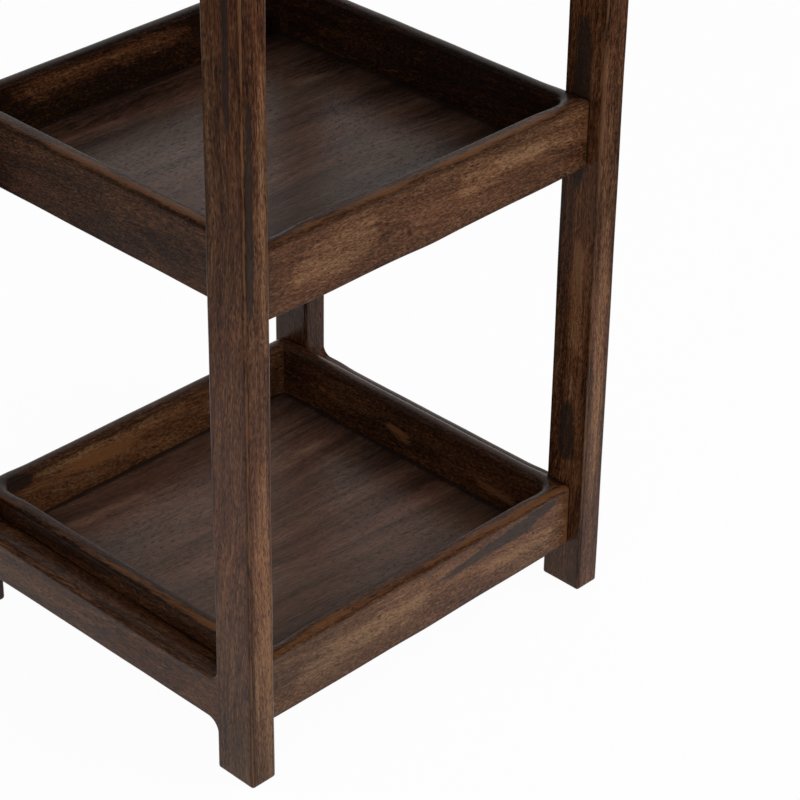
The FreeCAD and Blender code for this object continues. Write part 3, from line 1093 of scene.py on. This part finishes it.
    def flared(self, start: float, stop: float, level: float, radius: float, way: int) -> Contour:
        """Draw a rail's edge: a straight line between two hollow quarter circles.

        Args:
            start: Where the front leg's side stands.
            stop: Where the rear leg's side stands.
            level: Height of the edge.
            radius: Radius of the hollows.
            way: 1 for an upper edge, -1 for a lower one.

        Returns:
            The contour from the front leg to the rear leg.
        """
        sweep = np.linspace(0.0, np.pi / 2, self.flare_steps + 1)
        shares = np.linspace(0.0, 1.0, self.rail_steps + 1)[1:-1]
        ends = start + radius, stop - radius
        middle = level + way * radius
        return Contour.joined([
            Contour.arc((ends[0], middle), radius, np.pi + way * sweep),
            Contour.line((ends[0], level), (ends[1], level), (0.0, way), shares),
            Contour.arc((ends[1], middle), radius, -way * sweep[::-1]),
        ])


@dataclass(frozen=True)
class Tray:
    """Four mitred walls, crowned along the rim, round a floor panel."""

    tier: Tier
    maker: Maker
    wall_finish: Material
    floor_finish: Material
    corner: float = 3 * MM
    inner_corner: float = 10 * MM
    wall_thickness: float = 13 * MM
    base_outside: Round = Round(1.5 * MM, 1.5 * MM, wear=0.3)
    base_inside: Round = Round(0.3 * MM, 0.3 * MM, wear=0.0)
    panel_edge: Round = Round(0.4 * MM, 0.4 * MM, wear=0.0)
    least_sag: float = 0.5 * MM
    rim_out: float = 6.2 * MM
    rim_drop: float = 3.0 * MM
    rim_in: float = 6.3 * MM
    inner_drop: float = 3.7 * MM
    inner_wear: float = 0.08
    rim_ridge: float = 34.0
    rim_spread: float = 26.0
    crown_start: float = 0.84
    crown_rate: float = 7.0
    crown_shift: float = 3.0 * MM
    crown_fall: float = 0.7 * MM
    near_deeper: float = 0.5 * MM
    far_deeper: float = 3.2 * MM
    corner_wear: float = 0.95
    # Painted shade along the floor's sides, where it meets the walls.
    painted_side_shade: float = 0.32
    lower_floor_tone: float = 0.13
    corner_steps: int = 8
    lead_steps: int = 5
    wall_steps: int = 72
    floor_steps: int = 60
    wall_slot: str = "tray_wood"
    floor_slot: str = "floor_wood"

    def build(self) -> list[Piece]:
        """Make the four walls and the floor."""
        return [self.wall(wall) for wall in Wall] + [self.floor()]

    def wall(self, wall: Wall) -> Piece:
        """Make a wall, mitred at both ends, with rounded corners and a crowned rim.

        Args:
            wall: Which of the four.

        Returns:
            The piece.
        """
        node = f"{self.tier.value}_tray_{wall.name.lower()}_wall"
        depth = -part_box(f"{self.tier.value}_tray_front_wall")[0].y
        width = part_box(f"{self.tier.value}_tray_right_wall")[1].x
        lengthwise = wall in (Wall.FRONT, Wall.REAR)
        half, out = (width, depth) if lengthwise else (depth, width)
        low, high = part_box(node)
        inner = half - self.wall_thickness, out - self.wall_thickness
        straight = inner[0] - self.inner_corner
        first = self.rounded_side(half, out, self.corner, straight, False)
        second = self.rounded_side(*inner, self.inner_corner, straight, True)
        outside, inside = self.crown(wall, first.points[:, 0] / half)
        skin = Ribbon(
            first, second, low.z, high.z, self.base_outside, outside, self.base_inside, inside,
            face_steps=5, strip_steps=18,
        ).skin()
        number = 51 + 9 * list(Tier).index(self.tier) + 2 * wall.value
        self.rub_corners(skin, half, out)
        if lengthwise:
            self.bow_edge(skin.points, half, low.z, high.z, WALL_SAGS.get(node, self.least_sag))
        # The second tone paints shade on the wall's inner face.
        tone, shaded_inner_tone = WALL_TONES.get(node, (0.10 * math.sin(2.3 * number), -0.10))
        grain = Grain.ALONG_X_UPRIGHT if lengthwise else Grain.ALONG_Y_UPRIGHT
        marks = WALL_MARKS.get(node, ())
        board = Board(node, grain, number, tone, lean=(0.06, 0.05), marks=marks, shaded_inner_tone=shaded_inner_tone)
        return self.maker.piece(board, skin, (0, 1, 2), self.wall_finish, self.wall_slot, turn=wall.value)

    def crown(self, wall: Wall, run: Array) -> tuple[Round, Round]:
        """Shape the rim's two rounds: even at the ends, with a smooth step over a seventh of each half.

        Along the front and left walls, that hands reach over, the crown moves inwards, and along the others
        its outer round is deeper.

        Args:
            wall: Which of the four.
            run: Place of each ring along the wall, from -1 to 1.

        Returns:
            The outer and the inner round.
        """
        step = smoothed((self.crown_start - np.abs(run)) * self.crown_rate)
        reached = wall in (Wall.FRONT, Wall.LEFT)
        moved = step * reached
        drop = self.rim_drop + step * (self.near_deeper if reached else self.far_deeper)
        inner_drop = self.inner_drop - self.crown_fall * moved
        shift = self.crown_shift * moved
        outside = Round(self.rim_out + shift, drop, RIM_WEAR[wall], self.rim_ridge, self.rim_spread)
        return outside, Round(self.rim_in - shift, inner_drop, self.inner_wear)

    def rub_corners(self, skin: Skin, half: float, out: float) -> None:
        """Rub the skin's upright outer corners: a bell by the distance from the corner, in plan."""
        gap = np.hypot(np.abs(skin.points[:, :, 0]) - half, skin.points[:, :, 1] + out)
        np.maximum(skin.wear, self.corner_wear * np.exp(-(gap / self.corner / 2) ** 2), out=skin.wear)

    @staticmethod
    def bow_edge(points: Array, half: float, low: float, high: float, sag: float) -> None:
        """Let a hand-planed lower edge sag: an uneven arch with a bump in its middle, none at the rim.

        Args:
            points: The wall's points, changed in place.
            half: Half the wall's length.
            low: Level of the lower edge.
            high: Level of the rim.
            sag: Depth of the sag.
        """
        run = points[:, :, 0] / half
        ripple = 0.08 * np.sin(9.0 * run + 1.0)
        bump = 0.34 * np.exp(-(run / 0.13) ** 2)
        arch = np.clip(1 - run ** 4, 0.0, 1.0) * (0.66 - 0.16 * run + ripple + bump)
        reach = np.clip((high - points[:, :, 2]) / (high - low), 0.0, 1.0)
        points[:, :, 2] -= sag * arch * reach ** 2

    def rounded_side(self, half: float, out: float, radius: float, straight: float,
                     hollow: bool) -> Contour:
        """Draw one side of a rounded rectangle, from the middle of one corner to the middle of the next.

        The points of both sides of a wall face each other where both are straight. Beyond that the outer
        side has a straight lead, which faces part of the inner corner's arc.

        Args:
            half: Half the side's length.
            out: How far the side stands out from the tray's middle, along -Y.
            radius: Radius of the corners.
            straight: Half the length that is straight on both sides.
            hollow: Whether it is the inside of the wall.

        Returns:
            The contour, with normals out of the wood.
        """
        run = half - radius
        leads = self.lead_steps
        steps = self.corner_steps + (leads if hollow else 0)
        turns = np.linspace(1.25 * np.pi, 1.5 * np.pi, steps + 1)
        places = straight * np.linspace(-1.0, 1.0, self.wall_steps + 1)[1:-1]
        if not hollow:
            lead = np.linspace(-run, -straight, leads + 1)[1:]
            places = np.concatenate([lead, places, -lead[::-1]])
        way = (0.0, 1.0 if hollow else -1.0)
        mitres = (None, None) if hollow else ((-1.0, -1.0), (1.0, -1.0))
        return Contour.joined([
            Contour.arc((-run, radius - out), radius, turns, mitres[0]),
            Contour.line((-run, -out), (run, -out), way, 0.5 + 0.5 * places / run),
            Contour.arc((run, radius - out), radius, turns + np.pi / 4, mitres[1]),
        ])

    def floor(self) -> Piece:
        """Make the floor panel, whose edges sit in the walls' groove.

        Returns:
            The piece, with shade painted dark along the walls.
        """
        node = f"{self.tier.value}_tray_floor"
        low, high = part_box(node)
        shares = np.linspace(0.0, 1.0, self.floor_steps + 1)
        first = Contour.line((low.x, low.y), (high.x, low.y), (0.0, -1.0), shares)
        second = Contour.line((low.x, high.y), (high.x, high.y), (0.0, 1.0), shares)
        ribbon = Ribbon(
            first, second, low.z, high.z, *[self.panel_edge] * 4,
            face_steps=60, strip_steps=3, round_steps=2, edge_fade=0.5 * MM,
        )
        number = 90 + 4 * list(Tier).index(self.tier)
        level = high.z / MM
        side, end = low.x / MM + 3, low.y / MM + 3
        marks = (
            Mark(Shade.LIGHT, (80, 70, level), (125, 60, level), 7.0, 5.0),
            Mark(Shade.LIGHT, (-110, 112, level), (-30, 108, level), 8.0, 5.0),
            # Painted shadow: a dark line where the floor meets each wall.
            Mark(Shade.DARK, (2 * side, -end, level), (-2 * side, -end, level), 6.5, 6.5),
            Mark(Shade.DARK, (2 * side, end, level), (-2 * side, end, level), 6.5, 6.5),
            Mark(Shade.DARK, (-side, 2 * end, level), (-side, -2 * end, level), 7.5, 7.5),
            Mark(Shade.DARK, (side, 2 * end, level), (side, -2 * end, level), 6.5, 6.5),
        )
        tone = self.lower_floor_tone if self.tier is Tier.LOWER else 0.0
        heart = (170 * MM, 30 * MM)
        board = Board(node, Grain.ALONG_X_FLAT, number, tone, heart, (0.03, 0.02), marks, self.painted_side_shade)
        return self.maker.piece(board, ribbon.skin(), (0, 1, 2), self.floor_finish, self.floor_slot)


@dataclass(frozen=True)
class Softbox:
    """A square soft lamp: its name, place, side and power in watts."""

    name: str
    place: Place
    size: float
    power: float


@dataclass(frozen=True)
class Studio:
    """Pale floor, soft light and the camera at the photograph's viewing angle."""

    camera_place: Place = (-1.2370, -1.3233, 1.2856)
    camera_aim: Place = (0.0461, -0.0826, 0.1808)
    camera_roll: float = 0.846
    lens: float = 132.13
    sensor: float = 36.0
    far_clip: float = 100.0
    key: Softbox = Softbox("key_softbox", (1.2, -1.9, 1.35), 1.5, 34.0)
    fill: Softbox = Softbox("fill_softbox", (-1.9, -0.9, 1.2), 1.6, 12.0)
    lamp_aim: Place = (0.0, 0.0, 0.35)
    low_sky: float = 0.72
    high_sky: float = 0.24
    sky_span: Spot = (0.15, 0.85)
    backdrop_way: Place = (0.66, 0.62, 0.42)
    backdrop_span: Spot = (0.98, 0.80)
    away_from_backdrop: float = 0.20
    floor_grey: float = 0.90
    floor_rough: float = 0.90
    floor_half: float = 30.0
    floor_glow: float = 0.965
    sheet_near: float = 0.42
    sheet_far: float = 1.00
    beyond_sheet: float = 0.05

    def build(self) -> None:
        """Set up the world, floor, lamps and camera."""
        bpy.context.scene.view_settings.view_transform = "Standard"
        self.world()
        self.floor()
        self.hang(self.key)
        self.hang(self.fill)
        self.camera()

    @staticmethod
    def seen(sheet: NodeSheet) -> tuple[Socket, Socket]:
        """Tell rays that show the background.

        Args:
            sheet: Sheet of the world or the floor.

        Returns:
            Rays in gloss or glass, and these with the camera's own.
        """
        rays = sheet.add("LightPath").outputs
        mirrored = sheet.sum("MAXIMUM", rays["Is Glossy Ray"], rays["Is Transmission Ray"])
        return mirrored, sheet.sum("MAXIMUM", mirrored, rays["Is Camera Ray"])

    def world(self) -> None:
        """Light the room from around: white where it shows, dimmer in gloss away from the backdrop."""
        world = bpy.data.worlds.new("studio_world")
        bpy.context.scene.world = world
        sheet = NodeSheet(world)
        background = sheet.tree.nodes["Background"]
        background.inputs["Color"].default_value = (1.0, 1.0, 1.0, 1.0)
        mirrored, shown = self.seen(sheet)
        way = sheet.add("TexCoord").outputs["Generated"]
        overhead = sheet.span(sheet.parts(way)[2], *self.sky_span)
        around = sheet.sum("MULTIPLY_ADD", overhead, self.high_sky - self.low_sky, self.low_sky)
        facing = sheet.measure("DOT_PRODUCT", way, self.backdrop_way)
        aside = sheet.sum("MULTIPLY", sheet.span(facing, *self.backdrop_span), mirrored)
        dim = sheet.sum("MULTIPLY", aside, 1.0 - self.away_from_backdrop)
        strength = sheet.sum("SUBTRACT", sheet.sum("MAXIMUM", shown, around), dim)
        sheet.link(strength, background.inputs["Strength"])

    def floor(self) -> None:
        """Lay a wide pale floor that keeps a light shadow; in gloss it darkens beyond the paper sheet."""
        reach = self.floor_half
        corners = [(-reach, -reach, 0.0), (reach, -reach, 0.0), (reach, reach, 0.0), (-reach, reach, 0.0)]
        mesh = bpy.data.meshes.new("studio_floor")
        mesh.from_pydata(corners, [], [(0, 1, 2, 3)])
        floor = bpy.data.objects.new("studio_floor", mesh)
        bpy.context.scene.collection.objects.link(floor)
        material = bpy.data.materials.new("pale_floor")
        mesh.materials.append(material)
        sheet = NodeSheet(material)
        mirrored, shown = self.seen(sheet)
        place = sheet.add("TexCoord").outputs["Object"]
        beyond = sheet.span(sheet.measure("LENGTH", place), self.sheet_near, self.sheet_far)
        backwards = sheet.measure("DOT_PRODUCT", place, self.backdrop_way)
        before = sheet.span(backwards, self.sheet_far, self.sheet_near)
        dim = sheet.sum("MULTIPLY", sheet.sum("MULTIPLY", beyond, before), mirrored)
        loss = sheet.sum("MULTIPLY", dim, 1.0 - self.beyond_sheet)
        pale = sheet.mix(loss, (self.floor_grey,) * 3, (0.0, 0.0, 0.0))
        sheet.link(pale, sheet.shader.inputs["Base Color"])
        sheet.link(self.floor_rough, sheet.shader.inputs["Roughness"])
        glow = sheet.add("Emission")
        sheet.link(sheet.sum("SUBTRACT", 1.0, loss), glow.inputs["Strength"])
        share = sheet.sum("MULTIPLY", shown, self.floor_glow)
        mixed = sheet.add("MixShader", share, sheet.shader.outputs[0], glow.outputs[0])
        output = next(node for node in sheet.tree.nodes if node.type == "OUTPUT_MATERIAL")
        sheet.link(mixed.outputs[0], output.inputs["Surface"])

    @staticmethod
    def stand(name: str, data: bpy.types.ID, place: Place, aim: Place, roll: float = 0.0) -> Piece:
        """Stand a lamp or camera in the room.

        Args:
            name: Its name.
            data: The lamp or camera.
            place: Where it stands.
            aim: What it looks at.
            roll: How far it is turned about its line of sight, in degrees.

        Returns:
            The object.
        """
        look = (Vector(aim) - Vector(place)).to_track_quat("-Z", "Y").to_matrix().to_4x4()
        stood = bpy.data.objects.new(name, data)
        stood.matrix_world = Matrix.Translation(place) @ look @ Matrix.Rotation(math.radians(roll), 4, "Z")
        bpy.context.scene.collection.objects.link(stood)
        return stood

    def hang(self, box: Softbox) -> None:
        """Hang a soft lamp that looks at the table and makes no glint of its own.

        Args:
            box: The lamp.
        """
        light = bpy.data.lights.new(box.name, "AREA")
        light.shape = "SQUARE"
        light.size = box.size
        light.energy = box.power
        self.stand(box.name, light, box.place, self.lamp_aim).visible_glossy = False

    def camera(self) -> None:
        """Set the camera where the photograph was taken from, with its slight roll."""
        data = bpy.data.cameras.new("photo_camera")
        data.lens = self.lens
        data.sensor_width = self.sensor
        data.clip_end = self.far_clip
        camera = self.stand("photo_camera", data, self.camera_place, self.camera_aim, self.camera_roll)
        bpy.context.scene.camera = camera


def main() -> None:
    """Build the frames, the trays and the studio in order."""
    logging.basicConfig(level=logging.INFO, format="%(name)s %(message)s")
    maker = Maker(HandWork())
    woods = FRAME_WOOD, TRAY_WOOD, FLOOR_WOOD
    frame_wood, tray_wood, floor_wood = (wood.material() for wood in woods)
    pieces = []
    for side in Side:
        pieces += SideFrame(side, maker, frame_wood).build()
    for tier in Tier:
        pieces += Tray(tier, maker, tray_wood, floor_wood).build()
    tenon_wood = SawnWood().material()
    for tier in Tier:
        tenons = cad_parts[f"{tier.value}_tray_loose_tenons"]
        tenons.data.materials.clear()
        tenons.data.materials.append(tenon_wood)
    Studio().build()
    for piece in pieces:
        log.info("%s: %d points", piece.name, len(piece.data.vertices))


if __name__ == "__main__":
    main()
